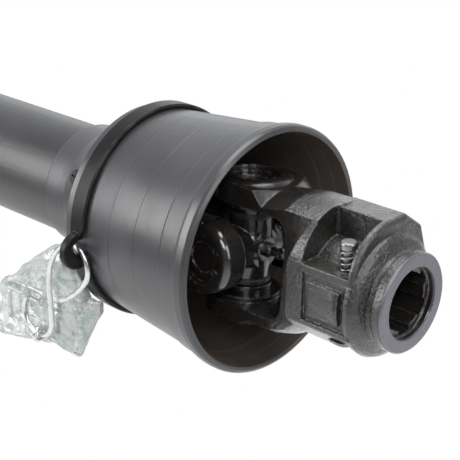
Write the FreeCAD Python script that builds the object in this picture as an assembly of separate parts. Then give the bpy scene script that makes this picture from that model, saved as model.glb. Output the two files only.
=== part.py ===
"""Agricultural universal joint shaft (PTO shaft) with a plastic guard.

The shaft lies along X. The origin is the centre of the near hub's nose face,
+X points out of that hub and +Z is up. All lengths are millimetres.

Both ends carry the same joint, so each end is built once in its own frame and
then placed: the near end as built, the far end turned half a turn about Z.
In an end's frame the nose face is at x = 0 and the shaft runs towards -X.
"""
import FreeCAD, Part
import math
import os

V = FreeCAD.Vector

# ---------------------------------------------------------------- overall
OVERALL_LENGTH = 720.0          # nose face to nose face, nearly closed
JOINT_X = -105.0                # joint centre of an end, from its nose face
JOINT_TURN = -5.0               # the joints' pins are turned this far about +X from Z and Y

# ---------------------------------------------------------------- cross kit 27 x 70
KIT_LENGTH = 70.0               # over the closed ends of two opposite cups
CUP_R = 13.5
CUP_BORE_R = 11.29
CUP_FLOOR = 2.4
CUP_DISH_R = 8.0
CUP_DISH_DEPTH = 0.8
CUP_OPEN = 20.0                 # open end of a cup, from the joint centre
TRUNNION_R = 8.75
TRUNNION_END = 32.5
ROLLER_R = 1.25
ROLLER_PITCH_R = 10.02
ROLLER_START = 20.6
ROLLER_END = 31.9
ROLLERS_PER_CUP = 24
SEAL_R = 12.4
SEAL_START = 16.5
SEAL_END = 19.9
SNAP_RING_R = 14.4
SNAP_RING_INNER_R = 11.9
SNAP_RING_T = 1.6
SNAP_RING_GAP_DEG = 50.0
CROSS_BODY_R = 15.5
NIPPLE_SEAT_X = 13.0
NIPPLE_THREAD_R = 3.0
NIPPLE_THREAD = 5.0

# ---------------------------------------------------------------- yoke ears
OUTER_EAR_R = 21.0
OUTER_EAR_OUT = 39.0            # outer face of an outer yoke's ear, from the joint centre
INNER_EAR_R = 19.5
INNER_EAR_OUT = 37.8            # the same for an inner yoke's ear
EAR_IN = 24.0                   # inner face of every ear
EAR_EDGE = 4.0                  # rounding of an ear's outer edge
ARM_INSET = 0.5                 # an arm is this much narrower each side than its ear
SWING_BALL_R = 46.0             # no ear reaches outside this ball about the joint centre
FORK_HALF = 27.0                # inner face of an outer yoke's arm, from the joint centre
FORK_BOTTOM = 41.0              # bottom of an outer yoke's fork, from the joint centre
FORK_CORNER_R = 8.0
EAR_PAD_R = 18.5                # raised round face inside each outer ear
THROAT_R = 24.0                 # round bottom of an inner yoke's fork
THROAT_X = 16.0                 # centre of that round, from the joint centre

# ---------------------------------------------------------------- splined hub
BORE_MINOR_R = 14.95
BORE_MAJOR_R = 17.5
SPLINE_SLOT = 8.7
SPLINES = 6
MOUTH_R = 18.5
MOUTH_DEPTH = 4.0
NOSE_R = 25.3
NOSE_LENGTH = 6.0
GROOVE_R = 23.2
SHOULDER_R = 32.0
BLOCK_FRONT = -14.0
BLOCK_BACK = -56.0
BLOCK_TOP = 38.5

# ---------------------------------------------------------------- push pin
PIN_X = -23.5
PIN_Y = -20.5
PIN_LOCK_R = 5.5
PIN_STEM_R = 2.5
PIN_HEAD_R = 4.2
PIN_HEAD_TOP = 32.0
PIN_HEAD_LENGTH = 3.6
PIN_LOCK_TOP = 1.5
PIN_BOTTOM = -21.6
PIN_CLEARANCE = 0.05
SPRING_SEAT_Z = 9.5
SPRING_WIRE_R = 0.65
SPRING_R = 3.6
SPRING_COILS = 6
RETAINER_R = 7.4
RETAINER_T = 1.2
SPOT_FACE_Z = -18.5
SPOT_FACE_R = 8.0
SPRING_BOSS_R = 6.2
SPRING_BOSS_TOP = 18.0

# ---------------------------------------------------------------- inner yoke and profile tubes
NECK_R = 27.0
NECK_BACK = -90.0               # from the joint centre
COLLAR_R = 30.5
COLLAR_FRONT = -66.0
BEARING_GROOVE_R = 24.5
BEARING_GROOVE = (-56.0, -47.0)
SOCKET_FRONT = -60.0
PROFILE_TRIANGLE = 16.0         # corner distance of the profile's base triangle
OUTER_PROFILE_OFFSET = 11.0
INNER_PROFILE_OFFSET = 6.7
PROFILE_WALL = 4.0
PROFILE_TUBE_LENGTH = 345.0
SPRING_PIN_R = 5.0
SPRING_PIN_BORE_R = 3.0
SPRING_PIN_HALF = 29.5
SPRING_PIN_X = -78.0            # from the joint centre

# ---------------------------------------------------------------- guard
GUARD_WALL = 2.6
RIM_X = -87.0
RIM_R = 67.0
BAND_X = -107.5
BELL_FRONT_R = 63.3
BELL_BACK_X = -168.0
BELL_BACK_R = 58.0
BELL_END_X = -185.0
RING_X = (-179.0, -168.5)
RING_R = 60.9
LUG_ANGLE = 185.5               # about +X, from +Y
LUG_CENTRE_R = 61.1
LUG_R = 10.4
LUG_HOLE_ANGLE = 184.0
LUG_HOLE_CENTRE_R = 59.9
LUG_HOLE_R = 4.2
LUG_X = (-176.0, -171.0)
EYE_FLARE_START = 1.2           # the eye's hole widens from here, either side of its middle
EYE_FRONT_FLARE = 1.9           # growth of the hole's radius per millimetre towards the front
EYE_BACK_FLARE = 0.8            # the same towards the back
NEAR_TUBE_R = 33.2
NEAR_TUBE_WALL = 2.7
FAR_TUBE_R = 30.1
FAR_TUBE_WALL = 2.1
GUARD_TUBE_FRONT = -196.0
NEAR_GUARD_TUBE_LENGTH = 284.0
FAR_GUARD_TUBE_LENGTH = 300.0
SLEEVE_WALL = 2.6
SLEEVE_R = NEAR_TUBE_R + SLEEVE_WALL
SLEEVE_BORE_R = 32.0            # clears the inner yoke's collar
SLEEVE_FRONT = -150.0
SLEEVE_BACK = -231.0
FLARE_LENGTH = 34.0
FLARE_STEPS = 10
FLARE_POWER = 1.5                # shape of the flare's curve
BEARING_SIDE_GAP = 0.3
BEARING_RUNNING_GAP = 0.05
BEARING_LIP_R = 28.2
BEARING_FRONT = -140.0
TAB_COUNT = 3
TAB_WIDTH = 16.0
TAB_OUT_R = 38.5
SCREW_ANGLES = (149.0, 269.0, 29.0)
SCREW_X = -201.0
SCREW_R = 2.4
SCREW_HEAD_R = 4.6
SCREW_TOP_R = 43.0

# ---------------------------------------------------------------- hook and chain
HOOK_WIRE_R = 1.5
HOOK_HANG = 1.0                 # the wire hangs this far below the middle of the eye's hole
HOOK_HEADING = 156.0            # direction of the wire in the hole, from +X towards +Z
HOOK_TO_TIP = ((12.0, 102.0), (59.0, 28.0))     # bend radius and turn, one way from the hole
HOOK_TO_LOWER = ((12.0, 58.0), (35.0, 57.0))    # the same, the other way
HOOK_STRAIGHT = 22.0
HOOK_LOWER_R = 12.3
HOOK_LOWER_TURN = 226.0
LINK_WIRE_R = 1.25
LINK_STRAIGHT = 10.5
LINK_BOW_R = 3.6
LINK_SLACK = 0.3
ROW_LINKS = 4
LINKS_BEFORE_HOOK = 1


# ================================================================ helpers
def rod(r, start, end, axis, at=V(0, 0, 0)):
    """Cylinder of radius r along an axis letter, from start to end."""
    direction = {"x": V(1, 0, 0), "y": V(0, 1, 0), "z": V(0, 0, 1)}[axis]
    low, high = min(start, end), max(start, end)
    return Part.makeCylinder(r, high - low, at + direction * low, direction)


def box(x, y, z):
    """Box from three (low, high) pairs."""
    return Part.makeBox(x[1] - x[0], y[1] - y[0], z[1] - z[0], V(x[0], y[0], z[0]))


def wire_of(points):
    return Part.makePolygon([V(*p) for p in points] + [V(*points[0])])


def revolve_x(profile):
    """Solid of revolution about X from (x, radius) points."""
    face = Part.Face(wire_of([(x, 0, r) for x, r in profile]))
    return face.revolve(V(0, 0, 0), V(1, 0, 0), 360)


def prism_x(section, start, end):
    """Prism along X from (y, z) points."""
    face = Part.Face(wire_of([(start, y, z) for y, z in section]))
    return face.extrude(V(end - start, 0, 0))


def fuse(first, *others):
    return first.fuse(list(others)).removeSplitter()


def turned(shape, axis, degrees):
    copy = shape.copy()
    copy.rotate(V(0, 0, 0), axis, degrees)
    return copy


def moved(shape, x=0.0, y=0.0, z=0.0):
    copy = shape.copy()
    copy.translate(V(x, y, z))
    return copy


def round_edges(shape, radius, keep):
    """Round the edges that keep(edge) picks out."""
    edges = [e for e in shape.Edges if keep(e)]
    return shape.makeFillet(radius, edges)


def both_ways(shape, axis):
    """The shape and its half-turn copy about an axis, as a list."""
    return [shape, turned(shape, axis, 180)]


# ================================================================ cross kit, joint centre at 0
def bearing_cup():
    """Cup on +Z, open towards the joint centre."""
    outside = rod(CUP_R, CUP_OPEN, KIT_LENGTH / 2, "z")
    inside = rod(CUP_BORE_R, CUP_OPEN, KIT_LENGTH / 2 - CUP_FLOOR, "z")
    dish = rod(CUP_DISH_R, KIT_LENGTH / 2 - CUP_DISH_DEPTH, KIT_LENGTH, "z")
    return outside.cut([inside, dish])


def cup_rollers():
    """One ring of needle rollers on +Z."""
    rollers = []
    for i in range(ROLLERS_PER_CUP):
        angle = 2 * math.pi * i / ROLLERS_PER_CUP
        at = V(ROLLER_PITCH_R * math.cos(angle), ROLLER_PITCH_R * math.sin(angle), 0)
        rollers.append(rod(ROLLER_R, ROLLER_START, ROLLER_END, "z", at))
    return rollers


def seal():
    ring = rod(SEAL_R, SEAL_START, SEAL_END, "z")
    ring = round_edges(ring, 1.0, lambda e: e.BoundBox.ZLength < 0.01)
    return ring.cut(rod(TRUNNION_R, SEAL_START - 1, SEAL_END + 1, "z"))


def snap_ring():
    """Internal snap ring above the cup on +Z, with two plier eyes and a gap."""
    low = KIT_LENGTH / 2
    high = low + SNAP_RING_T
    ring = rod(SNAP_RING_R, low, high, "z").cut(rod(SNAP_RING_INNER_R, low, high, "z"))
    half = math.radians(SNAP_RING_GAP_DEG / 2)
    reach = SNAP_RING_R * 2
    gap = Part.Face(wire_of([
        (0, 0, low),
        (reach * math.cos(half), reach * math.sin(half), low),
        (reach * math.cos(half), -reach * math.sin(half), low),
    ])).extrude(V(0, 0, SNAP_RING_T))
    ring = ring.cut(gap)
    eye_r = 2.4
    eye_angle = half + 0.14
    for side in (1, -1):
        at = V((SNAP_RING_INNER_R - 0.6) * math.cos(eye_angle),
               side * (SNAP_RING_INNER_R - 0.6) * math.sin(eye_angle), 0)
        ring = ring.fuse(rod(eye_r, low, high, "z", at))
        ring = ring.cut(rod(eye_r / 2, low, high, "z", at))
    return ring.removeSplitter()


def cross():
    """Four trunnions on a round body, with the nipple's threaded boss on +X."""
    trunnion = rod(TRUNNION_R, 0, TRUNNION_END, "z")
    trunnion = trunnion.makeChamfer(0.8, [e for e in trunnion.Edges if e.BoundBox.ZMin > 1])
    root = Part.makeCone(13.0, 11.6, SEAL_START, V(0, 0, 0), V(0, 0, 1))
    arm = trunnion.fuse(root)
    arms = [turned(arm, V(1, 0, 0), 90 * i) for i in range(4)]
    body = Part.makeSphere(CROSS_BODY_R)
    body = body.common(box((-11.5, 11.5), (-16, 16), (-16, 16)))
    boss = rod(6.5, 8, NIPPLE_SEAT_X, "x")
    whole = body.fuse(arms + [boss]).removeSplitter()
    return whole.cut(rod(NIPPLE_THREAD_R, NIPPLE_SEAT_X - NIPPLE_THREAD, NIPPLE_SEAT_X, "x"))


def grease_nipple():
    thread = rod(NIPPLE_THREAD_R, NIPPLE_SEAT_X - NIPPLE_THREAD, NIPPLE_SEAT_X, "x")
    corners = []
    for i in range(6):
        angle = math.pi / 3 * i
        corners.append((4.0 * math.cos(angle), 4.0 * math.sin(angle)))
    hexagon = prism_x(corners, NIPPLE_SEAT_X, NIPPLE_SEAT_X + 3.5)
    start = NIPPLE_SEAT_X + 3.5
    head = revolve_x([
        (start, 0), (start, 2.8), (start + 1.5, 2.3), (start + 3.0, 2.3),
        (start + 4.4, 3.2), (start + 5.8, 3.2), (start + 7.4, 1.6), (start + 7.4, 0),
    ])
    return fuse(thread, hexagon, head)


# ================================================================ yokes, joint centre at 0
def ear(radius, out, outline):
    """One ear on +Z of a fork that opens towards -X, with its arm from (x, z) points."""
    disc = rod(radius, 0, out, "z")
    disc = round_edges(disc, EAR_EDGE, lambda e: e.BoundBox.ZMin > out - 1)
    half_width = radius - ARM_INSET
    face = Part.Face(wire_of([(x, -half_width, z) for x, z in outline]))
    arm = face.extrude(V(0, 2 * half_width, 0))
    return disc.fuse(arm)


def outer_fork_space(reach):
    """The open space of an outer yoke, with a square-cornered bottom and a raised face on each ear."""
    space = box((-reach, FORK_BOTTOM), (-reach, reach), (-FORK_HALF, FORK_HALF))
    space = round_edges(space, FORK_CORNER_R, lambda e: e.BoundBox.XMin > 0 and e.BoundBox.YLength > 1)
    pads = [rod(EAR_PAD_R, EAR_IN, FORK_HALF + 1, "z"), rod(EAR_PAD_R, -FORK_HALF - 1, -EAR_IN, "z")]
    return space.cut(pads)


def inner_fork_space(reach):
    """The open space between the ears of an inner yoke, built on +Z and -Z."""
    straight = box((-reach, THROAT_X), (-reach, reach), (-EAR_IN, EAR_IN))
    return straight.fuse(rod(THROAT_R, -reach, reach, "y", V(THROAT_X, 0, 0)))


def ear_holes(out):
    """Bores of both ears with their snap ring grooves."""
    bore = rod(CUP_R, -out - 5, out + 5, "z")
    cuts = [bore]
    for side in (1, -1):
        cuts.append(rod(SNAP_RING_R, side * KIT_LENGTH / 2, side * (KIT_LENGTH / 2 + SNAP_RING_T), "z"))
        lip = Part.makeCone(CUP_R, CUP_R + 0.6, 0.6, V(0, 0, side * (out - 0.6)), V(0, 0, side))
        cuts.append(lip)
    return cuts


def turned_down(shape, outline):
    """Keep only what lies inside a solid of revolution about X."""
    ends = [(outline[0][0], 0)] + outline + [(outline[-1][0], 0)]
    return shape.common(revolve_x(ends))


def hub_block():
    """Forged block that holds the push pin, in the end's frame (nose face at x = 0)."""
    top = (-1.0, BLOCK_TOP)
    middle = (-20.5, 31.5)
    side = (-29.0, 16.0)
    start = BLOCK_BACK
    arc = Part.Arc(V(start, *top), V(start, *middle), V(start, *side)).toShape()
    rest = [side, (-29.8, -15.0), (-19.0, -25.5), (0.0, -31.0), (20.0, -25.0),
            (30.0, -4.0), (30.0, 14.0), (25.0, 29.0), (12.0, BLOCK_TOP), top]
    edges = [arc]
    for a, b in zip(rest[:-1], rest[1:]):
        edges.append(Part.makeLine(V(start, *a), V(start, *b)))
    face = Part.Face(Part.Wire(Part.__sortEdges__(edges)))
    block = face.extrude(V(BLOCK_FRONT - BLOCK_BACK, 0, 0))
    block = block.makeFillet(2.2, block.Edges)
    return turned_down(block, [(-57, 27.5), (-55.5, 30.5), (-53, 33.5), (-49, 37.5), (-45, 41.0), (0, 46.0)])


def pin_pocket():
    """Open pocket over the push pin, floored by the round hub wall."""
    space = box((-45.0, -17.0), (-60.0, -2.5), (16.5, 60.0))
    space = round_edges(space, 2.0, lambda e: e.BoundBox.ZLength > 30 and e.BoundBox.YMin > -10)
    return space.cut(rod(23.5, -80, 0, "x"))


def side_panel():
    """Shallow border recess on the block's flat side."""
    outer = box((-44.0, -17.0), (-32.0, -27.8), (-12.5, 12.5))
    inner = box((-40.0, -21.0), (-32.5, -27.5), (-8.5, 8.5))
    return outer.cut(inner)


def spline_bore():
    """Six-slot bore with its plain mouth."""
    reach = -80.0
    bore = rod(BORE_MINOR_R, reach, 1, "x")
    ring = rod(BORE_MAJOR_R, reach, 1, "x")
    cuts = [bore]
    for i in range(SPLINES):
        slot = box((reach, 1), (-SPLINE_SLOT / 2, SPLINE_SLOT / 2), (10, 30)).common(ring)
        cuts.append(turned(slot, V(1, 0, 0), 360.0 / SPLINES * i))
    cuts.append(rod(MOUTH_R, -MOUTH_DEPTH, 1, "x"))
    return cuts


def pin_holes():
    """Hole of the push pin through the hub, its spring seat and spot face."""
    at = V(PIN_X, PIN_Y, 0)
    return [
        rod(PIN_LOCK_R + PIN_CLEARANCE, -40, PIN_LOCK_TOP + 0.5, "z", at),
        rod(PIN_STEM_R + PIN_CLEARANCE, 0, 40, "z", at),
        rod(SPRING_R + SPRING_WIRE_R + 0.3, SPRING_SEAT_Z, 40, "z", at),
        rod(SPOT_FACE_R, -60, SPOT_FACE_Z, "z", at),
    ]


def outer_fork():
    """Two ears on +Z and -Z with their arms, joint centre at 0, hub towards +X."""
    upper = [(0, 20), (0, 38.0), (20, 37.0), (25, 36.0), (40, 40.0), (62, 40.0), (62, 0), (30, 0)]
    lower = [(0, 20), (0, 38.0), (20, 37.5), (40, 37.5), (50, 33.0), (62, 28.0), (62, 0), (30, 0)]
    upper_ear = turned_down(ear(OUTER_EAR_R, OUTER_EAR_OUT, upper), [
        (-60, 43.5), (16, 43.5), (24, 36.5), (33, 37.8), (40, 39.2), (62, 39.2)])
    lower_ear = turned_down(ear(OUTER_EAR_R, OUTER_EAR_OUT, lower), [
        (-60, 41.5), (14, 41.5), (20, 38.2), (36, 38.0), (44, 35.5), (50, 31.5), (62, 28.0)])
    return upper_ear.fuse(turned(lower_ear, V(1, 0, 0), 180))


def outer_yoke(joint_turn):
    """Fork with splined hub, in the end's frame, its ears turned about X by joint_turn."""
    def at_joint(shape):
        return moved(turned(shape, V(1, 0, 0), joint_turn), JOINT_X)
    front = revolve_x([
        (-58, 0), (-58, 27.0), (-56, 29.0), (-24, 30.5), (-21.5, SHOULDER_R - 0.6), (-20, SHOULDER_R),
        (-15, SHOULDER_R), (-12.6, SHOULDER_R - 1.2), (-11.2, SHOULDER_R - 3.2),
        (-10.2, 26.0), (-9.2, GROOVE_R + 0.6), (-8.2, GROOVE_R), (-NOSE_LENGTH - 0.8, GROOVE_R),
        (-NOSE_LENGTH, NOSE_R - 0.6), (-NOSE_LENGTH + 0.8, NOSE_R), (-0.8, NOSE_R), (0, NOSE_R - 0.8),
        (0, 0),
    ])
    body = front.fuse([hub_block(), at_joint(outer_fork())])
    body = body.cut([at_joint(outer_fork_space(70))] + [at_joint(h) for h in ear_holes(OUTER_EAR_OUT)])
    body = body.cut([pin_pocket(), side_panel()])
    body = body.fuse(rod(SPRING_BOSS_R, 5, SPRING_BOSS_TOP, "z", V(PIN_X, PIN_Y, 0)))
    body = body.cut(spline_bore() + pin_holes())
    return body.removeSplitter()


def profile_section(offset, x):
    """Rounded-triangle face across X: the base triangle grown by offset."""
    corners = []
    for i in range(3):
        angle = math.radians(90 + 120 * i)
        corners.append((0, PROFILE_TRIANGLE * math.cos(angle), PROFILE_TRIANGLE * math.sin(angle)))
    face = Part.Face(wire_of(corners)).makeOffset2D(offset)
    face.translate(V(x, 0, 0))
    return face


def profile_bar(offset, start, end):
    return profile_section(offset, start).extrude(V(end - start, 0, 0))


def inner_yoke(offset):
    """Fork with ears on +Y and -Y, neck, bearing groove and profile socket; joint centre at 0."""
    outline = [(0, 20), (0, 37.0), (16, 36.5), (27, 33.5), (34, 28.0), (40, 24.0), (40, 0), (30, 0)]
    half = ear(INNER_EAR_R, INNER_EAR_OUT, outline)
    fork = half.fuse(turned(half, V(1, 0, 0), 180))
    fork = turned_down(fork, [(-60, 42.0), (60, 42.0)])
    fork = fork.cut([inner_fork_space(70)] + ear_holes(INNER_EAR_OUT))
    fork = turned(turned(fork, V(0, 0, 1), 180), V(1, 0, 0), 90)
    neck = revolve_x([
        (-36, 0), (-36, NECK_R - 3), (-39, NECK_R), (BEARING_GROOVE[1], NECK_R),
        (BEARING_GROOVE[1], BEARING_GROOVE_R), (BEARING_GROOVE[0], BEARING_GROOVE_R),
        (BEARING_GROOVE[0], NECK_R), (COLLAR_FRONT + 4, NECK_R), (COLLAR_FRONT, COLLAR_R),
        (NECK_BACK + 1, COLLAR_R), (NECK_BACK, COLLAR_R - 1), (NECK_BACK, 0),
    ])
    neck = neck.cut(rod(THROAT_R, -70, 70, "z", V(-THROAT_X, 0, 0)))
    fork = fork.cut(revolve_x([(-70, NECK_R), (-70, 60), (-34, 60), (-34, NECK_R)]))
    body = fork.fuse(neck)
    body = body.cut(profile_bar(offset, NECK_BACK - 1, SOCKET_FRONT))
    body = body.cut(rod(10.0, -70, -30, "x"))
    body = body.cut(rod(SPRING_PIN_R, -60, 60, "z", V(SPRING_PIN_X, 0, 0)))
    return body.removeSplitter()


def profile_tube(offset):
    """Profile tube from its socket face backwards, joint centre at 0."""
    end = SOCKET_FRONT - PROFILE_TUBE_LENGTH
    tube = profile_bar(offset, SOCKET_FRONT, end)
    tube = tube.cut(profile_bar(offset - PROFILE_WALL, SOCKET_FRONT + 1, end - 1))
    return tube.cut(rod(SPRING_PIN_R, -60, 60, "z", V(SPRING_PIN_X, 0, 0)))


def spring_pin():
    """Slotted tube pin through collar and profile tube."""
    pin = rod(SPRING_PIN_R, -SPRING_PIN_HALF, SPRING_PIN_HALF, "z")
    pin = pin.makeChamfer(0.8, [e for e in pin.Edges if e.BoundBox.ZLength < 0.01])
    pin = pin.cut(rod(SPRING_PIN_BORE_R, -SPRING_PIN_HALF, SPRING_PIN_HALF, "z"))
    pin = pin.cut(box((0, 10), (-0.8, 0.8), (-SPRING_PIN_HALF, SPRING_PIN_HALF)))
    return moved(pin, SPRING_PIN_X)


# ================================================================ push pin, end's frame
def push_pin():
    at = V(PIN_X, PIN_Y, 0)
    lock = rod(PIN_LOCK_R, PIN_BOTTOM, PIN_LOCK_TOP, "z", at)
    lock = lock.makeChamfer(0.8, [e for e in lock.Edges if e.BoundBox.ZLength < 0.01])
    stem = rod(PIN_STEM_R, 0, PIN_HEAD_TOP - 1, "z", at)
    head = rod(PIN_HEAD_R, PIN_HEAD_TOP - PIN_HEAD_LENGTH, PIN_HEAD_TOP, "z", at)
    head = round_edges(head, 1.2, lambda e: e.BoundBox.ZMin > PIN_HEAD_TOP - 0.1)
    pin = fuse(lock, stem, head)
    return pin.cut(retainer_groove(at))


def retainer_groove(at):
    low = SPOT_FACE_Z - RETAINER_T
    ring = rod(PIN_LOCK_R + 1, low, SPOT_FACE_Z, "z", at)
    return ring.cut(rod(PIN_LOCK_R - 1, low, SPOT_FACE_Z, "z", at))


def pin_retainer():
    """Open snap ring in the push pin's lower groove."""
    at = V(PIN_X, PIN_Y, 0)
    low = SPOT_FACE_Z - RETAINER_T
    ring = rod(RETAINER_R, low, SPOT_FACE_Z, "z", at)
    ring = ring.cut(rod(PIN_LOCK_R - 1, low, SPOT_FACE_Z, "z", at))
    gap = box((PIN_X, PIN_X + 20), (PIN_Y - 2.5, PIN_Y + 2.5), (low, SPOT_FACE_Z))
    return ring.cut(gap)


def push_pin_spring():
    """Coil spring between its seat and the push pin's head."""
    low = SPRING_SEAT_Z + SPRING_WIRE_R
    high = PIN_HEAD_TOP - PIN_HEAD_LENGTH - SPRING_WIRE_R
    helix = Part.makeHelix((high - low) / SPRING_COILS, high - low, SPRING_R)
    start = Part.Circle(V(SPRING_R, 0, 0), V(0, 1, 0), SPRING_WIRE_R).toShape()
    spring = Part.Wire(helix.Edges).makePipeShell([Part.Wire(start)], True, True)
    return moved(spring, PIN_X, PIN_Y, low)


# ================================================================ guard, end's frame
def bell_outside():
    return [(BELL_END_X, BELL_BACK_R), (BELL_BACK_X, BELL_BACK_R), (BAND_X - 1.5, BELL_FRONT_R),
            (BAND_X, BELL_FRONT_R + 1.1), (RIM_X - 9.0, RIM_R - 1.3), (RIM_X - 8.0, RIM_R - 0.3),
            (RIM_X - 6.5, RIM_R), (RIM_X - 2.6, RIM_R), (RIM_X - 1.0, RIM_R - 0.7), (RIM_X, RIM_R - 2.2)]


def guard_bell():
    """Flared bell, wall of even thickness with a rounded lip."""
    inside = [(RIM_X, RIM_R - 2.8), (RIM_X - 1.0, RIM_R - 3.7), (RIM_X - 5.0, RIM_R - 4.2),
              (BAND_X + 2, BELL_FRONT_R - GUARD_WALL + 0.6), (BAND_X, BELL_FRONT_R - GUARD_WALL),
              (BELL_BACK_X, BELL_BACK_R - GUARD_WALL), (BELL_END_X, BELL_BACK_R - GUARD_WALL)]
    return revolve_x(bell_outside() + inside)


def lug_point(radius, x, degrees):
    angle = math.radians(degrees)
    return V(x, radius * math.cos(angle), radius * math.sin(angle))


def chain_ring():
    """Ring round the bell's back end with the eye for the chain hook."""
    ring = revolve_x([(RING_X[0], BELL_BACK_R), (RING_X[0], RING_R - 0.8), (RING_X[0] + 0.8, RING_R),
                      (RING_X[1] - 0.8, RING_R), (RING_X[1], RING_R - 0.8), (RING_X[1], BELL_BACK_R)])
    width = LUG_X[1] - LUG_X[0]
    eye = Part.makeCylinder(LUG_R, width, lug_point(LUG_CENTRE_R, LUG_X[0], LUG_ANGLE), V(1, 0, 0))
    eye = eye.makeFillet(1.2, [e for e in eye.Edges if e.BoundBox.XLength < 0.01])
    eye = eye.cut(rod(BELL_BACK_R, -250, -100, "x"))
    return fuse(ring, eye).cut(eye_hole())


def eye_hole():
    """Hole of the eye, widening to the front and to the back so the hook can swing."""
    length = 10.0
    middle = (LUG_X[0] + LUG_X[1]) / 2
    back = lug_point(LUG_HOLE_CENTRE_R, middle - length, LUG_HOLE_ANGLE)
    cuts = [Part.makeCylinder(LUG_HOLE_R, 2 * length, back, V(1, 0, 0))]
    for side, growth in ((1, EYE_FRONT_FLARE), (-1, EYE_BACK_FLARE)):
        start = lug_point(LUG_HOLE_CENTRE_R, middle + side * EYE_FLARE_START, LUG_HOLE_ANGLE)
        cuts.append(Part.makeCone(LUG_HOLE_R, LUG_HOLE_R + growth * length, length, start, V(side, 0, 0)))
    return cuts


def guard_base(tube_r):
    """Sleeve on the guard tube with the concave flare that carries the bell."""
    seat_r = BELL_BACK_R - GUARD_WALL
    flare_r = BELL_BACK_R - 0.8
    neck_r = SLEEVE_R + 0.4
    outside = []
    for i in range(FLARE_STEPS + 1):
        turn = math.pi / 2 * i / FLARE_STEPS
        x = BELL_END_X - FLARE_LENGTH * (1 - math.sin(turn))
        r = flare_r - (flare_r - neck_r) * math.cos(turn) ** FLARE_POWER
        outside.append((x, r))
    inside = [(x + 1.2, r - GUARD_WALL) for x, r in reversed(outside) if r - GUARD_WALL > SLEEVE_R + 0.5]
    profile = [(SLEEVE_BACK, tube_r), (SLEEVE_BACK, SLEEVE_R - 0.6), (SLEEVE_BACK + 1, SLEEVE_R)]
    profile += outside
    profile += [(BELL_END_X, seat_r), (BELL_BACK_X + 2, seat_r), (BELL_BACK_X + 2, seat_r - GUARD_WALL)]
    profile += inside
    profile += [(inside[-1][0], SLEEVE_R), (SLEEVE_FRONT, SLEEVE_R), (SLEEVE_FRONT, SLEEVE_BORE_R)]
    profile += [(GUARD_TUBE_FRONT, SLEEVE_BORE_R), (GUARD_TUBE_FRONT, tube_r)]
    base = revolve_x(profile)
    return base.cut(screw_cuts())


def on_screw_axes(build):
    """Copies of a radial shape built on +Z, one on each screw axis."""
    shapes = []
    for angle in SCREW_ANGLES:
        shapes.append(turned(build(), V(1, 0, 0), angle - 90))
    return shapes


def screw_cuts():
    def space():
        shank = rod(SCREW_R, 20, SCREW_TOP_R, "z", V(SCREW_X, 0, 0))
        head = rod(SCREW_HEAD_R + 0.1, SCREW_TOP_R - 2.6, 70, "z", V(SCREW_X, 0, 0))
        return shank.fuse(head)
    return on_screw_axes(space)


def guard_screws(tube_r, wall):
    """Three pan head screws through the base into the guard tube."""
    def screw():
        shank = rod(SCREW_R, tube_r - wall, SCREW_TOP_R - 2.6, "z", V(SCREW_X, 0, 0))
        head = rod(SCREW_HEAD_R, SCREW_TOP_R - 2.6, SCREW_TOP_R, "z", V(SCREW_X, 0, 0))
        head = round_edges(head, 1.2, lambda e: e.BoundBox.ZMin > SCREW_TOP_R - 0.1)
        slot = box((SCREW_X - 3.2, SCREW_X + 3.2), (-0.5, 0.5), (SCREW_TOP_R - 1.3, SCREW_TOP_R + 1))
        cross_slot = box((SCREW_X - 0.5, SCREW_X + 0.5), (-3.2, 3.2), (SCREW_TOP_R - 1.3, SCREW_TOP_R + 1))
        return fuse(shank, head).cut([slot, cross_slot])
    return on_screw_axes(screw)


def guard_tube(tube_r, wall, length):
    end = GUARD_TUBE_FRONT - length
    tube = revolve_x([(GUARD_TUBE_FRONT, tube_r), (GUARD_TUBE_FRONT, tube_r - wall),
                      (end, tube_r - wall), (end, tube_r)])
    return tube.cut(screw_cuts())


def guard_bearing():
    """Nylon ring that runs in the inner yoke's groove, with three locking tabs."""
    groove_low = JOINT_X + BEARING_GROOVE[0] + BEARING_SIDE_GAP
    groove_high = JOINT_X + BEARING_GROOVE[1] - BEARING_SIDE_GAP
    ring = revolve_x([
        (groove_low, BEARING_GROOVE_R + BEARING_RUNNING_GAP), (groove_low, SLEEVE_BORE_R),
        (SLEEVE_FRONT, SLEEVE_BORE_R), (SLEEVE_FRONT, BEARING_LIP_R), (groove_high, BEARING_LIP_R),
        (groove_high, BEARING_GROOVE_R + BEARING_RUNNING_GAP),
    ])
    tabs = []
    for i in range(TAB_COUNT):
        tab = box((SLEEVE_FRONT, BEARING_FRONT), (-TAB_WIDTH / 2, TAB_WIDTH / 2), (20, TAB_OUT_R))
        tab = tab.cut(rod(BEARING_LIP_R, -200, -100, "x"))
        tab = tab.cut(Part.makeSphere(SWING_BALL_R, V(JOINT_X, 0, 0)))
        tabs.append(turned(tab, V(1, 0, 0), -150 + 120 * i))
    hub = revolve_x([
        (SLEEVE_FRONT, BEARING_LIP_R), (SLEEVE_FRONT, SLEEVE_BORE_R), (SLEEVE_FRONT + 3.5, SLEEVE_BORE_R),
        (SLEEVE_FRONT + 3.5, BEARING_LIP_R),
    ])
    return fuse(ring, hub, *tabs)


# ================================================================ hook and chain, end's frame
def heading_of(degrees):
    """Unit vector in the XZ plane, angle from +X towards +Z."""
    return V(math.cos(math.radians(degrees)), 0, math.sin(math.radians(degrees)))


def bend(start, heading, radius, turn):
    """Arc in the XZ plane, and its end, the heading there and its centre."""
    side = math.copysign(1, turn)
    centre = start + heading_of(heading + 90 * side) * radius

    def at(degrees):
        return centre + heading_of(heading - 90 * side + degrees) * radius

    return Part.Arc(start, at(turn / 2), at(turn)).toShape(), at(turn), heading + turn, centre


def hook_pivot():
    """Middle of the wire where it passes through the eye."""
    return lug_point(LUG_HOLE_CENTRE_R, sum(LUG_X) / 2, LUG_HOLE_ANGLE) - V(0, 0, HOOK_HANG)


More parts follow.
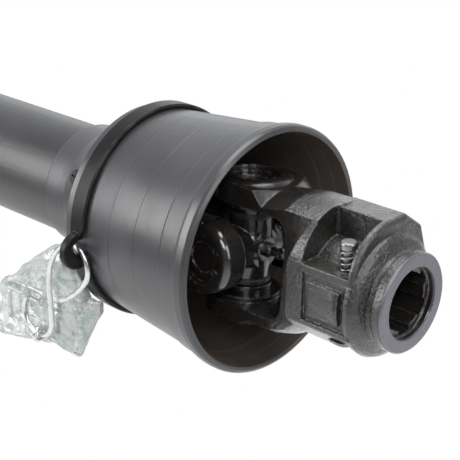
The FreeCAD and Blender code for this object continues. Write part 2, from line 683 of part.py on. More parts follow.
def hook_path():
    """Edges of the hook's centre line, its tip, the heading at its tip and its lower bow's centre."""
    edges = []
    tip, tip_heading = hook_pivot(), HOOK_HEADING + 180
    for radius, turn in HOOK_TO_TIP:
        edge, tip, tip_heading, centre = bend(tip, tip_heading, radius, -turn)
        edges.append(edge)
    place, heading = hook_pivot(), HOOK_HEADING
    for radius, turn in HOOK_TO_LOWER:
        edge, place, heading, centre = bend(place, heading, radius, turn)
        edges.append(edge)
    foot = place + heading_of(heading) * HOOK_STRAIGHT
    edges.append(Part.makeLine(place, foot))
    edge, place, heading, centre = bend(foot, heading, HOOK_LOWER_R, -HOOK_LOWER_TURN)
    edges.append(edge)
    return edges, tip, tip_heading, centre


def s_hook():
    """S-shaped wire hook through the ring's eye."""
    edges, tip, tip_heading, centre = hook_path()
    path = Part.Wire(Part.sortEdges(edges)[0])
    section = Part.Wire(Part.Circle(tip, heading_of(tip_heading), HOOK_WIRE_R).toShape())
    return path.makePipeShell([section], True, True)


def chain_link():
    """Oval link along X in the XZ plane, centred at 0."""
    half = LINK_STRAIGHT / 2
    top = Part.makeLine(V(half, 0, LINK_BOW_R), V(-half, 0, LINK_BOW_R))
    left = Part.Arc(V(-half, 0, LINK_BOW_R), V(-half - LINK_BOW_R, 0, 0), V(-half, 0, -LINK_BOW_R))
    bottom = Part.makeLine(V(-half, 0, -LINK_BOW_R), V(half, 0, -LINK_BOW_R))
    right = Part.Arc(V(half, 0, -LINK_BOW_R), V(half + LINK_BOW_R, 0, 0), V(half, 0, LINK_BOW_R))
    path = Part.Wire([top, left.toShape(), bottom, right.toShape()])
    section = Part.Wire(Part.Circle(V(half, 0, LINK_BOW_R), V(1, 0, 0), LINK_WIRE_R).toShape())
    return path.makePipeShell([section], True, True)


def chain_anchor():
    """Lowest point of the hook's lower bow, where the chain hangs."""
    edges, tip, tip_heading, centre = hook_path()
    return centre - V(0, 0, HOOK_LOWER_R)


def guard_chain():
    """Two rows of links gathered beside the hook, joined by an upright link."""
    anchor = chain_anchor()
    link = chain_link()
    row_y = anchor.y + LINK_STRAIGHT
    lower_z = anchor.z - LINK_BOW_R
    pitch = LINK_STRAIGHT + 2 * LINK_BOW_R - 2 * LINK_WIRE_R - LINK_SLACK
    rise = LINK_STRAIGHT / 2 + 2 * LINK_BOW_R - 2 * LINK_WIRE_R - LINK_SLACK
    first_x = anchor.x + pitch * LINKS_BEFORE_HOOK
    links = []
    for row_z in (lower_z, lower_z + 2 * rise):
        for i in range(ROW_LINKS):
            piece = turned(link, V(1, 0, 0), 90) if i % 2 else link
            links.append(moved(piece, first_x - pitch * i, row_y, row_z))
    upright = turned(turned(link, V(0, 1, 0), 90), V(0, 0, 1), 90)
    last_x = first_x - pitch * (ROW_LINKS - 1)
    links.append(moved(upright, last_x - LINK_STRAIGHT / 2, row_y, lower_z + rise))
    joiner = turned(upright, V(1, 0, 0), 90)
    links.append(moved(joiner, anchor.x, (anchor.y + row_y) / 2, anchor.z))
    return links


# ================================================================ assembly
def end_pieces(prefix, joint_turn, profile_offset, tube_r, tube_wall, tube_length):
    """All pieces of one end, by node name, in the end's frame."""
    along = V(1, 0, 0)
    outer_pair = {
        "cups_outer": both_ways(bearing_cup(), along),
        "snap_rings_outer": both_ways(snap_ring(), along),
        "rollers_outer": cup_rollers() + [turned(r, along, 180) for r in cup_rollers()],
    }
    joint = {"cross": [cross()], "grease_nipple": [grease_nipple()]}
    joint["trunnion_seals"] = [turned(seal(), along, 90 * i) for i in range(4)]
    for name, shapes in outer_pair.items():
        joint[name] = shapes
        joint[name.replace("outer", "inner")] = [turned(s, along, 90) for s in shapes]
    joint["inner_yoke"] = [inner_yoke(profile_offset)]
    joint["profile_tube"] = [profile_tube(profile_offset)]
    joint["yoke_spring_pin"] = [spring_pin()]
    pieces = {}
    for name, shapes in joint.items():
        pieces[prefix + name] = [moved(turned(s, along, joint_turn), JOINT_X) for s in shapes]
    pieces[prefix + "outer_yoke"] = [outer_yoke(joint_turn)]
    pieces[prefix + "push_pin"] = [push_pin()]
    pieces[prefix + "push_pin_spring"] = [push_pin_spring()]
    pieces[prefix + "pin_retainer"] = [pin_retainer()]
    pieces[prefix + "guard_bell"] = [guard_bell()]
    pieces[prefix + "guard_chain_ring"] = [chain_ring()]
    pieces[prefix + "guard_base"] = [guard_base(tube_r)]
    pieces[prefix + "guard_tube"] = [guard_tube(tube_r, tube_wall, tube_length)]
    pieces[prefix + "guard_screws"] = guard_screws(tube_r, tube_wall)
    pieces[prefix + "guard_bearing"] = [guard_bearing()]
    pieces[prefix + "s_hook"] = [s_hook()]
    pieces[prefix + "guard_chain"] = guard_chain()
    return pieces


def place_far(shape):
    """Turn an end half a turn about Z and move it to the far side."""
    return moved(turned(shape, V(0, 0, 1), 180), -OVERALL_LENGTH)


def build():
    """Both ends by node name. Turned opposite ways before placing, their pins end up parallel."""
    pieces = end_pieces("near_", JOINT_TURN, OUTER_PROFILE_OFFSET, NEAR_TUBE_R, NEAR_TUBE_WALL,
                        NEAR_GUARD_TUBE_LENGTH)
    far = end_pieces("far_", -JOINT_TURN, INNER_PROFILE_OFFSET, FAR_TUBE_R, FAR_TUBE_WALL,
                     FAR_GUARD_TUBE_LENGTH)
    for name, shapes in far.items():
        pieces[name] = [place_far(s) for s in shapes]
    return pieces


os.makedirs("parts", exist_ok=True)
for node, solids in build().items():
    shape = solids[0] if len(solids) == 1 else Part.makeCompound(solids)
    shape.exportStep("parts/" + node + ".step")
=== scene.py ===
"""Looks for the universal joint shaft: materials, the chain's film bag, floor, lights and camera.

Everything is in metres in the frame's axes. The near hub's nose face is at x = 0, the shaft
runs towards -X, and the far end mirrors the near end about x = -SHAFT_LENGTH / 2.
"""
import math

import bpy
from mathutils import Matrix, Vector, noise


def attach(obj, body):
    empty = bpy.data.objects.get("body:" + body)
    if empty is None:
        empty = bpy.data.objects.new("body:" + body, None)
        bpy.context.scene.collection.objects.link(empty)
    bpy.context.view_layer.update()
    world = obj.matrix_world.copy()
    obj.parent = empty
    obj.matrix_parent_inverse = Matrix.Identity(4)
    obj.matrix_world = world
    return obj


SHAFT_LENGTH = 0.720

# camera
CAMERA_AT = Vector((0.3032, -0.4453, 0.2656))
CAMERA_AIM = Vector((-0.11908, 0.0, 0.00303))
CAMERA_LENS = 98.08
CAMERA_SENSOR = 36.0

# stage
WHITE = (1.0, 1.0, 1.0)
BLACK = (0.0, 0.0, 0.0)
FLOOR_Z = -0.45
FLOOR_HALF = 6.0
FLOOR_COLOUR = (0.72, 0.72, 0.72)
WORLD_COLOUR = (0.96, 0.98, 1.0)
WORLD_FRONT = 0.24
WORLD_BEHIND = 1.5

# softboxes: name, place, width, height, watts; all point at SOFTBOX_AIM
SOFTBOX_AIM = (-0.12, 0.0, 0.0)
SOFTBOXES = (
    ("top_box", (-0.15, 0.15, 1.3), 1.3, 0.9, 26.0),
    ("left_box", (-0.95, -1.05, 0.46), 0.8, 0.75, 19.0),
    ("right_box", (1.3, 0.05, 0.55), 0.7, 0.9, 12.0),
    ("front_box", (0.62, -0.75, 0.80), 0.5, 0.5, 7.0),
)

# places along an end, measured from its nose face (negative inwards)
NOSE_FACE_DEPTH = 0.0009
NOSE_FACE_FADE = 0.0004
MOULD_LINES = (-0.1495, -0.1290)
MOULD_LINE_HALF = 0.00055
INNER_LEDGES = (-0.1240, -0.0970)
INNER_LEDGE_HALF = 0.0006
FORGING_SKIN_BACK = -0.056
FORGING_SKIN_FADE = 0.008
BORE_R = 0.0195
BORE_FADE = 0.0005

# colours of the marks on moulded plastic: a painted edge highlight, faint mould seams, a brown inside
# lifted as painted light, and painted highlight lines on the inner ledges
EDGE_HIGHLIGHT_GREY = (0.24, 0.24, 0.25)
MOULD_LINE_BLACK = (0.004, 0.004, 0.004)
INSIDE_LIFTED_BROWN = (0.068, 0.058, 0.051)
LEDGE_HIGHLIGHT_GREY = (0.16, 0.155, 0.15)

# film bag on the chain: x, middle y, middle z, half size y, half size z of each section
BAG_STATIONS = (
    (-0.300, -0.0500, -0.0790, 0.0015, 0.0050),
    (-0.286, -0.0497, -0.0780, 0.0050, 0.0105),
    (-0.266, -0.0492, -0.0755, 0.0085, 0.0145),
    (-0.245, -0.0488, -0.0665, 0.0085, 0.0220),
    (-0.225, -0.0488, -0.0560, 0.0085, 0.0275),
    (-0.206, -0.0488, -0.0480, 0.0080, 0.0315),
    (-0.196, -0.0495, -0.0475, 0.0075, 0.0318),
    (-0.187, -0.0495, -0.0560, 0.0065, 0.0245),
    (-0.180, -0.0500, -0.0530, 0.0035, 0.0120),
    (-0.168, -0.0490, -0.0430, 0.0012, 0.0030),
)
BAG_TURNS = 96
BAG_STEPS = 120

# crumpling of the bag: how far its film moves out and along, and creases per metre
BAG_CRUMPLE = 0.0028
BAG_SHIFT = 0.004
BROAD_CREASES = 42.0
SHARP_CREASES = 85.0
SHIFT_CREASES = 60.0
SHARP_SHARE = 0.7
SHARP_START = Vector((3.0, 1.0, 7.0))


# ---------------------------------------------------------------- node materials
class Shader:
    """A node material built from short calls. Coordinates are metres in the frame's axes."""

    def __init__(self, name):
        self.material = bpy.data.materials.new(name)
        self.material.use_nodes = True
        self.tree = self.material.node_tree
        self.tree.nodes.clear()
        self.output = self.add("ShaderNodeOutputMaterial")
        self.surface = self.add("ShaderNodeBsdfPrincipled")
        self.tree.links.new(self.surface.outputs[0], self.output.inputs["Surface"])
        self.place = self.add("ShaderNodeTexCoord").outputs["Object"]

    def add(self, kind):
        return self.tree.nodes.new(kind)

    def feed(self, socket, value):
        """Set a socket to a number or colour, or link it to another socket."""
        if isinstance(value, bpy.types.NodeSocket):
            self.tree.links.new(value, socket)
        elif isinstance(value, tuple) and len(value) == 3 and socket.type == "RGBA":
            socket.default_value = (*value, 1.0)
        else:
            socket.default_value = value

    def set(self, name, value):
        self.feed(self.surface.inputs[name], value)

    def math(self, operation, a, b=0.0):
        node = self.add("ShaderNodeMath")
        node.operation = operation
        self.feed(node.inputs[0], a)
        self.feed(node.inputs[1], b)
        return node.outputs[0]

    def axis(self, letter):
        node = self.add("ShaderNodeSeparateXYZ")
        self.feed(node.inputs[0], self.place)
        return node.outputs[letter]

    def along(self):
        """Place along an end: zero at either nose face, negative inwards."""
        middle = self.math("ADD", self.axis("X"), SHAFT_LENGTH / 2)
        return self.math("SUBTRACT", self.math("ABSOLUTE", middle), SHAFT_LENGTH / 2)

    def radius(self):
        """Distance from the shaft's axis."""
        across = self.math("POWER", self.axis("Y"), 2.0)
        up = self.math("POWER", self.axis("Z"), 2.0)
        return self.math("SQRT", self.math("ADD", across, up))

    def scaled(self, x, y, z):
        """Place stretched by a factor per axis, for patterns that run one way."""
        node = self.add("ShaderNodeVectorMath")
        node.operation = "MULTIPLY"
        self.feed(node.inputs[0], self.place)
        node.inputs[1].default_value = (x, y, z)
        return node.outputs[0]

    def noise(self, scale, detail=3.0, roughness=0.5, vector=None):
        """Noise of about 0.3 to 0.7, scale cells per metre."""
        node = self.add("ShaderNodeTexNoise")
        self.feed(node.inputs["Vector"], vector or self.place)
        node.inputs["Scale"].default_value = scale
        node.inputs["Detail"].default_value = detail
        node.inputs["Roughness"].default_value = roughness
        return node.outputs["Fac"]

    def span(self, value, low, high, to_low=0.0, to_high=1.0):
        """Map value from low..high to to_low..to_high, held at both ends."""
        node = self.add("ShaderNodeMapRange")
        self.feed(node.inputs["Value"], value)
        node.inputs["From Min"].default_value = low
        node.inputs["From Max"].default_value = high
        node.inputs["To Min"].default_value = to_low
        node.inputs["To Max"].default_value = to_high
        return node.outputs[0]

    def line(self, value, centre, half_width):
        """1 on a thin line at centre, fading to 0 at half_width either side."""
        away = self.math("ABSOLUTE", self.math("SUBTRACT", value, centre))
        return self.span(away, 0.0, half_width, 1.0, 0.0)

    def mix(self, share, a, b):
        node = self.add("ShaderNodeMix")
        node.data_type = "RGBA"
        self.feed(node.inputs["Factor"], share)
        self.feed(node.inputs[6], a)
        self.feed(node.inputs[7], b)
        return node.outputs[2]

    def blend(self, share, a, b):
        """Mix of two shaders."""
        node = self.add("ShaderNodeMixShader")
        self.feed(node.inputs[0], share)
        self.feed(node.inputs[1], a)
        self.feed(node.inputs[2], b)
        return node.outputs[0]

    def use(self, shader):
        """Put a shader in the place of the principled one."""
        self.tree.nodes.remove(self.surface)
        self.tree.links.new(shader, self.output.inputs["Surface"])

    def soft_edges(self, radius):
        """Normal that rounds every sharp edge by radius."""
        node = self.add("ShaderNodeBevel")
        node.samples = 4
        node.inputs["Radius"].default_value = radius
        return node.outputs[0]

    def dot(self, a, b):
        node = self.add("ShaderNodeVectorMath")
        node.operation = "DOT_PRODUCT"
        self.feed(node.inputs[0], a)
        self.feed(node.inputs[1], b)
        return node.outputs["Value"]

    def inside_share(self):
        """1 where a surface faces the shaft's axis, 0 where it faces outwards."""
        true_normal = self.add("ShaderNodeNewGeometry").outputs["True Normal"]
        return self.math("LESS_THAN", self.dot(true_normal, self.scaled(0.0, 1.0, 1.0)), 0.0)

    def edge_share(self, soft_normal):
        """1 on sharp edges, 0 on flats."""
        normal = self.add("ShaderNodeNewGeometry").outputs["Normal"]
        return self.span(self.dot(soft_normal, normal), 0.97, 0.8)

    def bump(self, height, distance, normal=None):
        """Normal raised by distance where height is 1, on top of another normal if given."""
        node = self.add("ShaderNodeBump")
        self.feed(node.inputs["Height"], height)
        node.inputs["Distance"].default_value = distance
        if normal is not None:
            self.feed(node.inputs["Normal"], normal)
        return node.outputs[0]

    def product(self, *factors):
        """All factors multiplied together; the first one is a socket."""
        result = factors[0]
        for factor in factors[1:]:
            result = self.math("MULTIPLY", result, factor)
        return result

    def rest(self, share):
        """What is left of 1 after a share."""
        return self.math("SUBTRACT", 1.0, share)


def forged_paint(name, pits, roughness, shine):
    """Gloss black paint over a forging: rough skin, soft edges, lighter edges that are partly thin paint
    and partly a painted highlight.
    """
    s = Shader(name)
    soft = s.soft_edges(0.0012)
    skin = s.noise(620.0, 4.0, 0.6)
    waves = s.noise(110.0, 2.0)
    along = s.along()
    nose = s.span(along, -NOSE_FACE_DEPTH - NOSE_FACE_FADE, -NOSE_FACE_DEPTH)
    painted = s.rest(nose)

    skin_from = FORGING_SKIN_BACK - FORGING_SKIN_FADE
    skin_to = FORGING_SKIN_BACK + FORGING_SKIN_FADE
    cast = s.span(along, skin_from, skin_to, 0.25, 1.0)
    outside_bore = s.span(s.radius(), BORE_R - BORE_FADE, BORE_R, 0.1, 1.0)
    cast = s.product(cast, outside_bore)
    normal = s.bump(s.product(waves, painted), 0.0005, soft)
    normal = s.bump(s.product(skin, painted, cast), pits, normal)

    pit_shade_black = (0.0075, 0.0065, 0.0058)
    paint_black = (0.017, 0.0155, 0.0145)
    painted_glint_grey = (0.12, 0.115, 0.105)
    worn_and_sheen_grey = (0.22, 0.21, 0.20)
    machined_grey = (0.15, 0.15, 0.17)
    # painted highlight: grey speckles on the cast skin stand in for glints of the gloss over its grain
    glints = s.product(s.span(s.noise(1100.0, 2.0, 0.6), 0.56, 0.72), cast, 0.45)
    # partly wear, partly painted highlight: edges lightened for thin paint and for the gloss shining on
    # them
    worn_and_sheen = s.product(s.edge_share(soft), s.span(s.noise(420.0, 4.0), 0.42, 0.62), 0.75)
    # painted shade: the skin's hollows get the darker black, the raised parts the lighter one
    colour = s.mix(s.span(skin, 0.35, 0.7), pit_shade_black, paint_black)
    colour = s.mix(glints, colour, painted_glint_grey)
    colour = s.mix(worn_and_sheen, colour, worn_and_sheen_grey)
    colour = s.mix(nose, colour, machined_grey)

    s.set("Base Color", colour)
    s.set("Roughness", s.span(s.noise(90.0, 4.0), 0.3, 0.7, roughness, roughness + 0.14))
    s.set("Metallic", s.product(nose, 0.55))
    s.set("Specular IOR Level", shine)
    s.set("Coat Weight", s.product(painted, 0.75))
    s.set("Coat Roughness", 0.08)
    s.set("Coat Normal", normal)
    s.set("Normal", normal)
    return s.material


def moulded_plastic(name, colour, lighter, roughness, shine, lines=False):
    """Satin moulded plastic with fine grain, flow marks and light scuffs round the axis, and a painted
    highlight along its edges.
    """
    s = Shader(name)
    soft = s.soft_edges(0.0007)
    grain = s.noise(2600.0, 2.0)
    flow = s.noise(26.0, 3.0)
    normal = s.bump(grain, 0.00004, soft)
    normal = s.bump(flow, 0.0006, normal)

    scuff_colour = tuple(min(1.0, 2.2 * level) for level in lighter)
    scratched = s.span(s.noise(60.0, 6.0, 0.7, s.scaled(26.0, 2.0, 2.0)), 0.60, 0.75)
    # painted highlight: sharp edges lightened towards a light grey, broken up by noise
    edge_highlight = s.product(s.edge_share(soft), s.span(s.noise(180.0, 3.0), 0.35, 0.6), 0.6)
    base = s.mix(s.span(flow, 0.3, 0.7), colour, lighter)
    base = s.mix(s.product(scratched, 0.35), base, scuff_colour)
    base = s.mix(edge_highlight, base, EDGE_HIGHLIGHT_GREY)
    if lines:
        base, normal = moulding_marks(s, base, normal)

    unscratched = s.span(flow, 0.3, 0.7, roughness - 0.04, roughness + 0.05)
    s.set("Base Color", base)
    s.set("Roughness", s.math("ADD", unscratched, s.product(scratched, 0.12)))
    s.set("Specular IOR Level", shine)
    s.set("Normal", normal)
    return s.material


def moulding_marks(s, base, normal):
    """Add the bell's marks: faint seams round its outside, an inside painted a lighter brown as painted
    light against its shade, and painted highlight lines on its inner ledges.
    """
    along = s.along()
    inside = s.inside_share()
    outside = s.rest(inside)
    # painted light: surfaces facing the axis get a brown lighter than the outside, to lift the shade inside
    # the bell
    base = s.mix(inside, base, INSIDE_LIFTED_BROWN)
    for x in MOULD_LINES:
        mark = s.product(s.line(along, x, MOULD_LINE_HALF), outside)
        normal = s.bump(mark, 0.00012, normal)
        base = s.mix(s.product(mark, 0.16), base, MOULD_LINE_BLACK)
    # painted highlight: thin light lines where the inner ledges would catch the light
    for x in INNER_LEDGES:
        mark = s.product(s.line(along, x, INNER_LEDGE_HALF), inside)
        base = s.mix(s.product(mark, 0.6), base, LEDGE_HIGHLIGHT_GREY)
    return base, normal


def extruded_plastic():
    """Guard tube: fine lengthwise draw lines with a faint scuffed band."""
    s = Shader("tube_plastic")
    cloud = s.noise(18.0, 4.0)
    drawn = s.noise(40.0, 4.0, 0.6, s.scaled(1.0, 22.0, 22.0))
    scratched = s.span(s.noise(70.0, 6.0, 0.75, s.scaled(3.0, 9.0, 9.0)), 0.58, 0.72)
    normal = s.bump(drawn, 0.00012)
    normal = s.bump(s.noise(2600.0, 2.0), 0.00004, normal)
    base = s.mix(s.span(cloud, 0.3, 0.7), (0.016, 0.016, 0.017), (0.028, 0.028, 0.030))
    base = s.mix(s.product(scratched, 0.35), base, (0.11, 0.11, 0.12))
    unscratched = s.span(cloud, 0.3, 0.7, 0.31, 0.38)
    s.set("Base Color", base)
    s.set("Roughness", s.math("ADD", unscratched, s.product(scratched, 0.1)))
    s.set("Normal", normal)
    return s.material


def plated_wire():
    """Bright zinc plate with a soft cloudy finish."""
    s = Shader("zinc_plate")
    cloud = s.noise(160.0, 4.0)
    colour = s.mix(s.span(cloud, 0.3, 0.7), (0.50, 0.51, 0.52), (0.68, 0.68, 0.69))
    s.set("Base Color", colour)
    s.set("Metallic", 1.0)
    s.set("Roughness", s.span(cloud, 0.3, 0.7, 0.22, 0.36))
    s.set("Normal", s.bump(s.noise(700.0, 3.0), 0.00006))
    return s.material


def plain_steel(name, dark, light, roughness):
    """Turned or drawn steel with lines along X and light staining."""
    s = Shader(name)
    soft = s.soft_edges(0.0003)
    stain = s.noise(120.0, 4.0)
    lines = s.noise(60.0, 3.0, 0.6, s.scaled(2.0, 30.0, 30.0))
    s.set("Base Color", s.mix(s.span(stain, 0.3, 0.7), dark, light))
    s.set("Metallic", 0.95)
    s.set("Roughness", s.span(stain, 0.3, 0.7, roughness, roughness + 0.15))
    s.set("Normal", s.bump(lines, 0.00006, soft))
    return s.material


def nylon():
    """Natural grey nylon, a little waxy."""
    s = Shader("grey_nylon")
    soft = s.soft_edges(0.0008)
    cloud = s.noise(90.0, 3.0)
    s.set("Base Color", s.mix(s.span(cloud, 0.3, 0.7), (0.30, 0.30, 0.30), (0.40, 0.40, 0.395)))
    s.set("Roughness", s.span(cloud, 0.3, 0.7, 0.38, 0.5))
    s.set("Subsurface Weight", 0.08)
    s.set("Subsurface Radius", (0.002, 0.002, 0.002))
    s.set("Normal", s.bump(s.noise(900.0, 2.0), 0.00005, soft))
    return s.material


def rubber():
    """Seal rubber, dark and dusty."""
    s = Shader("seal_rubber")
    dust = s.noise(300.0, 5.0, 0.6)
    s.set("Base Color", s.mix(s.span(dust, 0.4, 0.75), (0.010, 0.010, 0.010), (0.05, 0.047, 0.043)))
    s.set("Roughness", s.span(dust, 0.3, 0.7, 0.35, 0.6))
    s.set("Normal", s.bump(dust, 0.0001))
    return s.material


def clear_film():
    """Thin clear plastic film: a milky haze with sea-green folds darkened as painted shade, and sharp
    glints.
    """
    s = Shader("clear_film")
    creases = s.noise(38.0, 4.0, 0.55)
    folds = s.noise(30.0, 5.0, 0.65, s.scaled(0.7, 1.6, 1.6))
    normal = s.bump(creases, 0.0026)
    normal = s.bump(s.noise(150.0, 3.0), 0.0003, normal)
    # painted shade: along the folds the haze and the see-through tint turn darker; the green there is the
    # film's own tint
    fold_shade = s.line(folds, 0.5, 0.030)

    haze = s.add("ShaderNodeBsdfDiffuse")
    s.feed(haze.inputs["Color"], s.mix(fold_shade, (0.62, 0.65, 0.62), (0.20, 0.30, 0.28)))
    s.feed(haze.inputs["Normal"], normal)
    clear = s.add("ShaderNodeBsdfTransparent")
    s.feed(clear.inputs["Color"], s.mix(fold_shade, (0.93, 0.945, 0.935), (0.72, 0.80, 0.77)))
    shine = s.add("ShaderNodeBsdfAnisotropic")
    s.feed(shine.inputs["Roughness"], 0.12)
    s.feed(shine.inputs["Normal"], normal)
    facing = s.add("ShaderNodeFresnel")
    s.feed(facing.inputs["IOR"], 1.45)
    s.feed(facing.inputs["Normal"], normal)

    milky = s.span(creases, 0.35, 0.65, 0.26, 0.46)
    haze_share = s.math("ADD", milky, s.product(fold_shade, 0.22))
    shine_share = s.span(facing.outputs[0], 0.0, 1.0, 0.02, 0.9)
    body = s.blend(haze_share, clear.outputs[0], haze.outputs[0])
    s.use(s.blend(shine_share, body, shine.outputs[0]))
    return s.material


def floor_paint():
    """Plain pale floor that the camera sees as evenly lit white."""
    s = Shader("pale_floor")
    seen = s.add("ShaderNodeLightPath").outputs["Is Camera Ray"]
    s.set("Base Color", s.mix(seen, FLOOR_COLOUR, BLACK))
    s.set("Emission Color", WHITE)
    s.set("Emission Strength", seen)
    s.set("Roughness", 0.8)
    s.set("Specular IOR Level", 0.0)
    return s.material


# ---------------------------------------------------------------- which node gets which material
def paint_nodes(nodes):
    """Give every CAD node its material, both ends alike."""
    paint = forged_paint("black_forging_paint", pits=0.00050, roughness=0.22, shine=0.35)
    smooth_paint = forged_paint("black_gloss_paint", pits=0.00012, roughness=0.13, shine=0.5)
    guard = moulded_plastic(
        "guard_plastic", (0.026, 0.026, 0.028), (0.038, 0.038, 0.042), roughness=0.33, shine=0.5, lines=True
    )
    ring = moulded_plastic(
        "ring_plastic", (0.006, 0.006, 0.0062), (0.010, 0.010, 0.0105), roughness=0.36, shine=0.14
    )
    spring = plain_steel("spring_steel", (0.10, 0.10, 0.10), (0.30, 0.30, 0.31), roughness=0.26)
    turned = plain_steel("bright_steel", (0.42, 0.42, 0.43), (0.62, 0.62, 0.64), roughness=0.20)
    drawn = plain_steel("drawn_steel", (0.16, 0.16, 0.165), (0.30, 0.30, 0.31), roughness=0.32)
    zinc = plated_wire()
    by_piece = {
        "outer_yoke": paint,
        "inner_yoke": smooth_paint,
        "cross": smooth_paint,
        "grease_nipple": smooth_paint,
        "cups_outer": smooth_paint,
        "cups_inner": smooth_paint,
        "snap_rings_outer": smooth_paint,
        "snap_rings_inner": smooth_paint,
        "trunnion_seals": rubber(),
        "rollers_outer": turned,
        "rollers_inner": turned,
        "push_pin": spring,
        "push_pin_spring": spring,
        "pin_retainer": spring,
        "yoke_spring_pin": spring,
        "profile_tube": drawn,
        "guard_bell": guard,
        "guard_base": guard,
        "guard_chain_ring": ring,
        "guard_tube": extruded_plastic(),
        "guard_screws": ring,
        "guard_bearing": nylon(),
        "s_hook": zinc,
        "guard_chain": zinc,
    }
    for name, thing in nodes.items():
        material = by_piece[name.split("_", 1)[1]]
        thing.data.materials.clear()
        thing.data.materials.append(material)


# ---------------------------------------------------------------- film bag
def add_mesh(name, points, faces):
    """New object of its own mesh, linked to the scene."""
    mesh = bpy.data.meshes.new(name)
    mesh.from_pydata([tuple(p) for p in points], [], faces)
    thing = bpy.data.objects.new(name, mesh)
    bpy.context.scene.collection.objects.link(thing)
    return thing


def bag_section(x):
    """Middle (y, z) and half size (y, z) of the bag's section at x, from its tail to its mouth."""
    for low, high in zip(BAG_STATIONS[:-1], BAG_STATIONS[1:]):
        if x <= high[0]:
            t = (x - low[0]) / (high[0] - low[0])
            return [a + (b - a) * t for a, b in zip(low[1:], high[1:])]
    return list(BAG_STATIONS[-1][1:])


def crumple(point):
    """Folded offset of a film point: broad creases with a few sharp ones."""
    broad = noise.noise(point * BROAD_CREASES)
    sharp = abs(noise.noise(point * SHARP_CREASES + SHARP_START))
    return BAG_CRUMPLE * (broad + SHARP_SHARE * sharp)


def film_point(x, turn):
    """Point of the near bag's film at x, turned round its section."""
    y, z, half_y, half_z = bag_section(x)
    out = Vector((0.0, math.cos(turn), math.sin(turn)))
    point = Vector((x, y + half_y * out.y, z + half_z * out.z))
    point += out * crumple(point)
    point.x += BAG_SHIFT * noise.noise(point * SHIFT_CREASES)
    return point


def film_bag(name, body, far):
    """Crumpled clear bag round one end's chain."""
    start_x = BAG_STATIONS[0][0]
    end_x = BAG_STATIONS[-1][0]
    points = []
    for i in range(BAG_STEPS + 1):
        x = start_x + (end_x - start_x) * i / BAG_STEPS
        for k in range(BAG_TURNS):
            points.append(film_point(x, 2 * math.pi * k / BAG_TURNS))
    if far:
        points = [Vector((-SHAFT_LENGTH - p.x, -p.y, p.z)) for p in points]
    faces = []
    for i in range(BAG_STEPS):
        for k in range(BAG_TURNS):
            a = i * BAG_TURNS + k
            b = i * BAG_TURNS + (k + 1) % BAG_TURNS
            faces.append((a, b, b + BAG_TURNS, a + BAG_TURNS))
    bag = add_mesh(name, points, faces)
    for polygon in bag.data.polygons:
        polygon.use_smooth = True
    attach(bag, body)
    return bag


def bag_chains():
    """Wrap the chain of each end in its bag."""
    film = clear_film()
    for end in ("near", "far"):
        bag = film_bag(end + "_chain_bag", end + "_guard_chain", end == "far")
        bag.data.materials.append(film)


# ---------------------------------------------------------------- stage, light, camera
def lay_floor():
    half = FLOOR_HALF
    z = FLOOR_Z
    corners = [(-half, -half, z), (half, -half, z), (half, half, z), (-half, half, z)]
    floor = add_mesh("floor", corners, [(0, 1, 2, 3)])
    floor.data.materials.append(floor_paint())


def facing_turn(at, aim):
    """Rotation that turns a light or camera at one place to look at another."""
    return (aim - at).to_track_quat("-Z", "Y").to_euler()


def softbox(name, at, width, height, watts):
    """Rectangular area light at a place, turned to SOFTBOX_AIM."""
    data = bpy.data.lights.new(name, "AREA")
    data.shape = "RECTANGLE"
    data.size = width
    data.size_y = height
    data.energy = watts
    lamp = bpy.data.objects.new(name, data)
    lamp.location = at
    lamp.rotation_euler = facing_turn(Vector(at), Vector(SOFTBOX_AIM))
    bpy.context.scene.collection.objects.link(lamp)


def light_studio():
    for box in SOFTBOXES:
        softbox(*box)


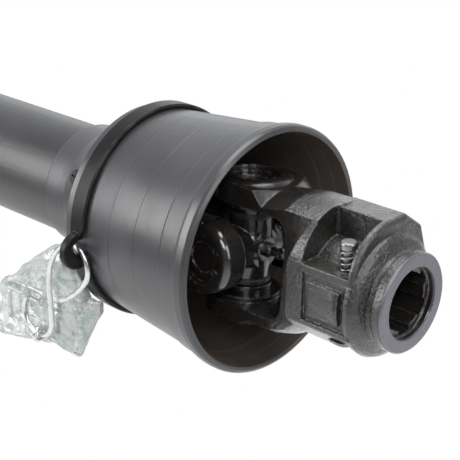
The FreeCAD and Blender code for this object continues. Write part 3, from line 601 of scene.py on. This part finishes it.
def set_world():
    """White surroundings for the camera; for light, bright behind the shaft and dim in front."""
    world = bpy.data.worlds.new("studio")
    bpy.context.scene.world = world
    world.use_nodes = True
    tree = world.node_tree
    tree.nodes.clear()
    seen = tree.nodes.new("ShaderNodeBackground")
    seen.inputs["Color"].default_value = (*WHITE, 1.0)
    lit = tree.nodes.new("ShaderNodeBackground")
    lit.inputs["Color"].default_value = (*WORLD_COLOUR, 1.0)
    behind = tree.nodes.new("ShaderNodeVectorMath")
    behind.operation = "DOT_PRODUCT"
    behind.inputs[1].default_value = (CAMERA_AIM - CAMERA_AT).normalized()
    tree.links.new(tree.nodes.new("ShaderNodeTexCoord").outputs["Generated"], behind.inputs[0])
    strength = tree.nodes.new("ShaderNodeMapRange")
    strength.inputs["From Min"].default_value = -0.2
    strength.inputs["From Max"].default_value = 0.85
    strength.inputs["To Min"].default_value = WORLD_FRONT
    strength.inputs["To Max"].default_value = WORLD_BEHIND
    tree.links.new(behind.outputs["Value"], strength.inputs["Value"])
    tree.links.new(strength.outputs[0], lit.inputs["Strength"])
    path = tree.nodes.new("ShaderNodeLightPath")
    mix = tree.nodes.new("ShaderNodeMixShader")
    out = tree.nodes.new("ShaderNodeOutputWorld")
    tree.links.new(path.outputs["Is Camera Ray"], mix.inputs[0])
    tree.links.new(lit.outputs[0], mix.inputs[1])
    tree.links.new(seen.outputs[0], mix.inputs[2])
    tree.links.new(mix.outputs[0], out.inputs["Surface"])


def set_camera():
    data = bpy.data.cameras.new("camera")
    data.lens = CAMERA_LENS
    data.sensor_width = CAMERA_SENSOR
    data.clip_end = 50.0
    camera = bpy.data.objects.new("camera", data)
    camera.location = CAMERA_AT
    camera.rotation_euler = facing_turn(CAMERA_AT, CAMERA_AIM)
    bpy.context.scene.collection.objects.link(camera)
    bpy.context.scene.camera = camera


# ---------------------------------------------------------------- build
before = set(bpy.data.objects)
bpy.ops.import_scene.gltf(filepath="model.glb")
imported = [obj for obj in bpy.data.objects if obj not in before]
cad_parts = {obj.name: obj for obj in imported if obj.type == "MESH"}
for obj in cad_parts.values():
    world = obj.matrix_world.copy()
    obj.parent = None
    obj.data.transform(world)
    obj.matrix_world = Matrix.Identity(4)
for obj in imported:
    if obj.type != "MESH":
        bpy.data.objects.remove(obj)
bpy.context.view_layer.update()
paint_nodes(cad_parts)
bag_chains()
lay_floor()
light_studio()
set_world()
set_camera()
bpy.context.scene.view_settings.view_transform = "Standard"
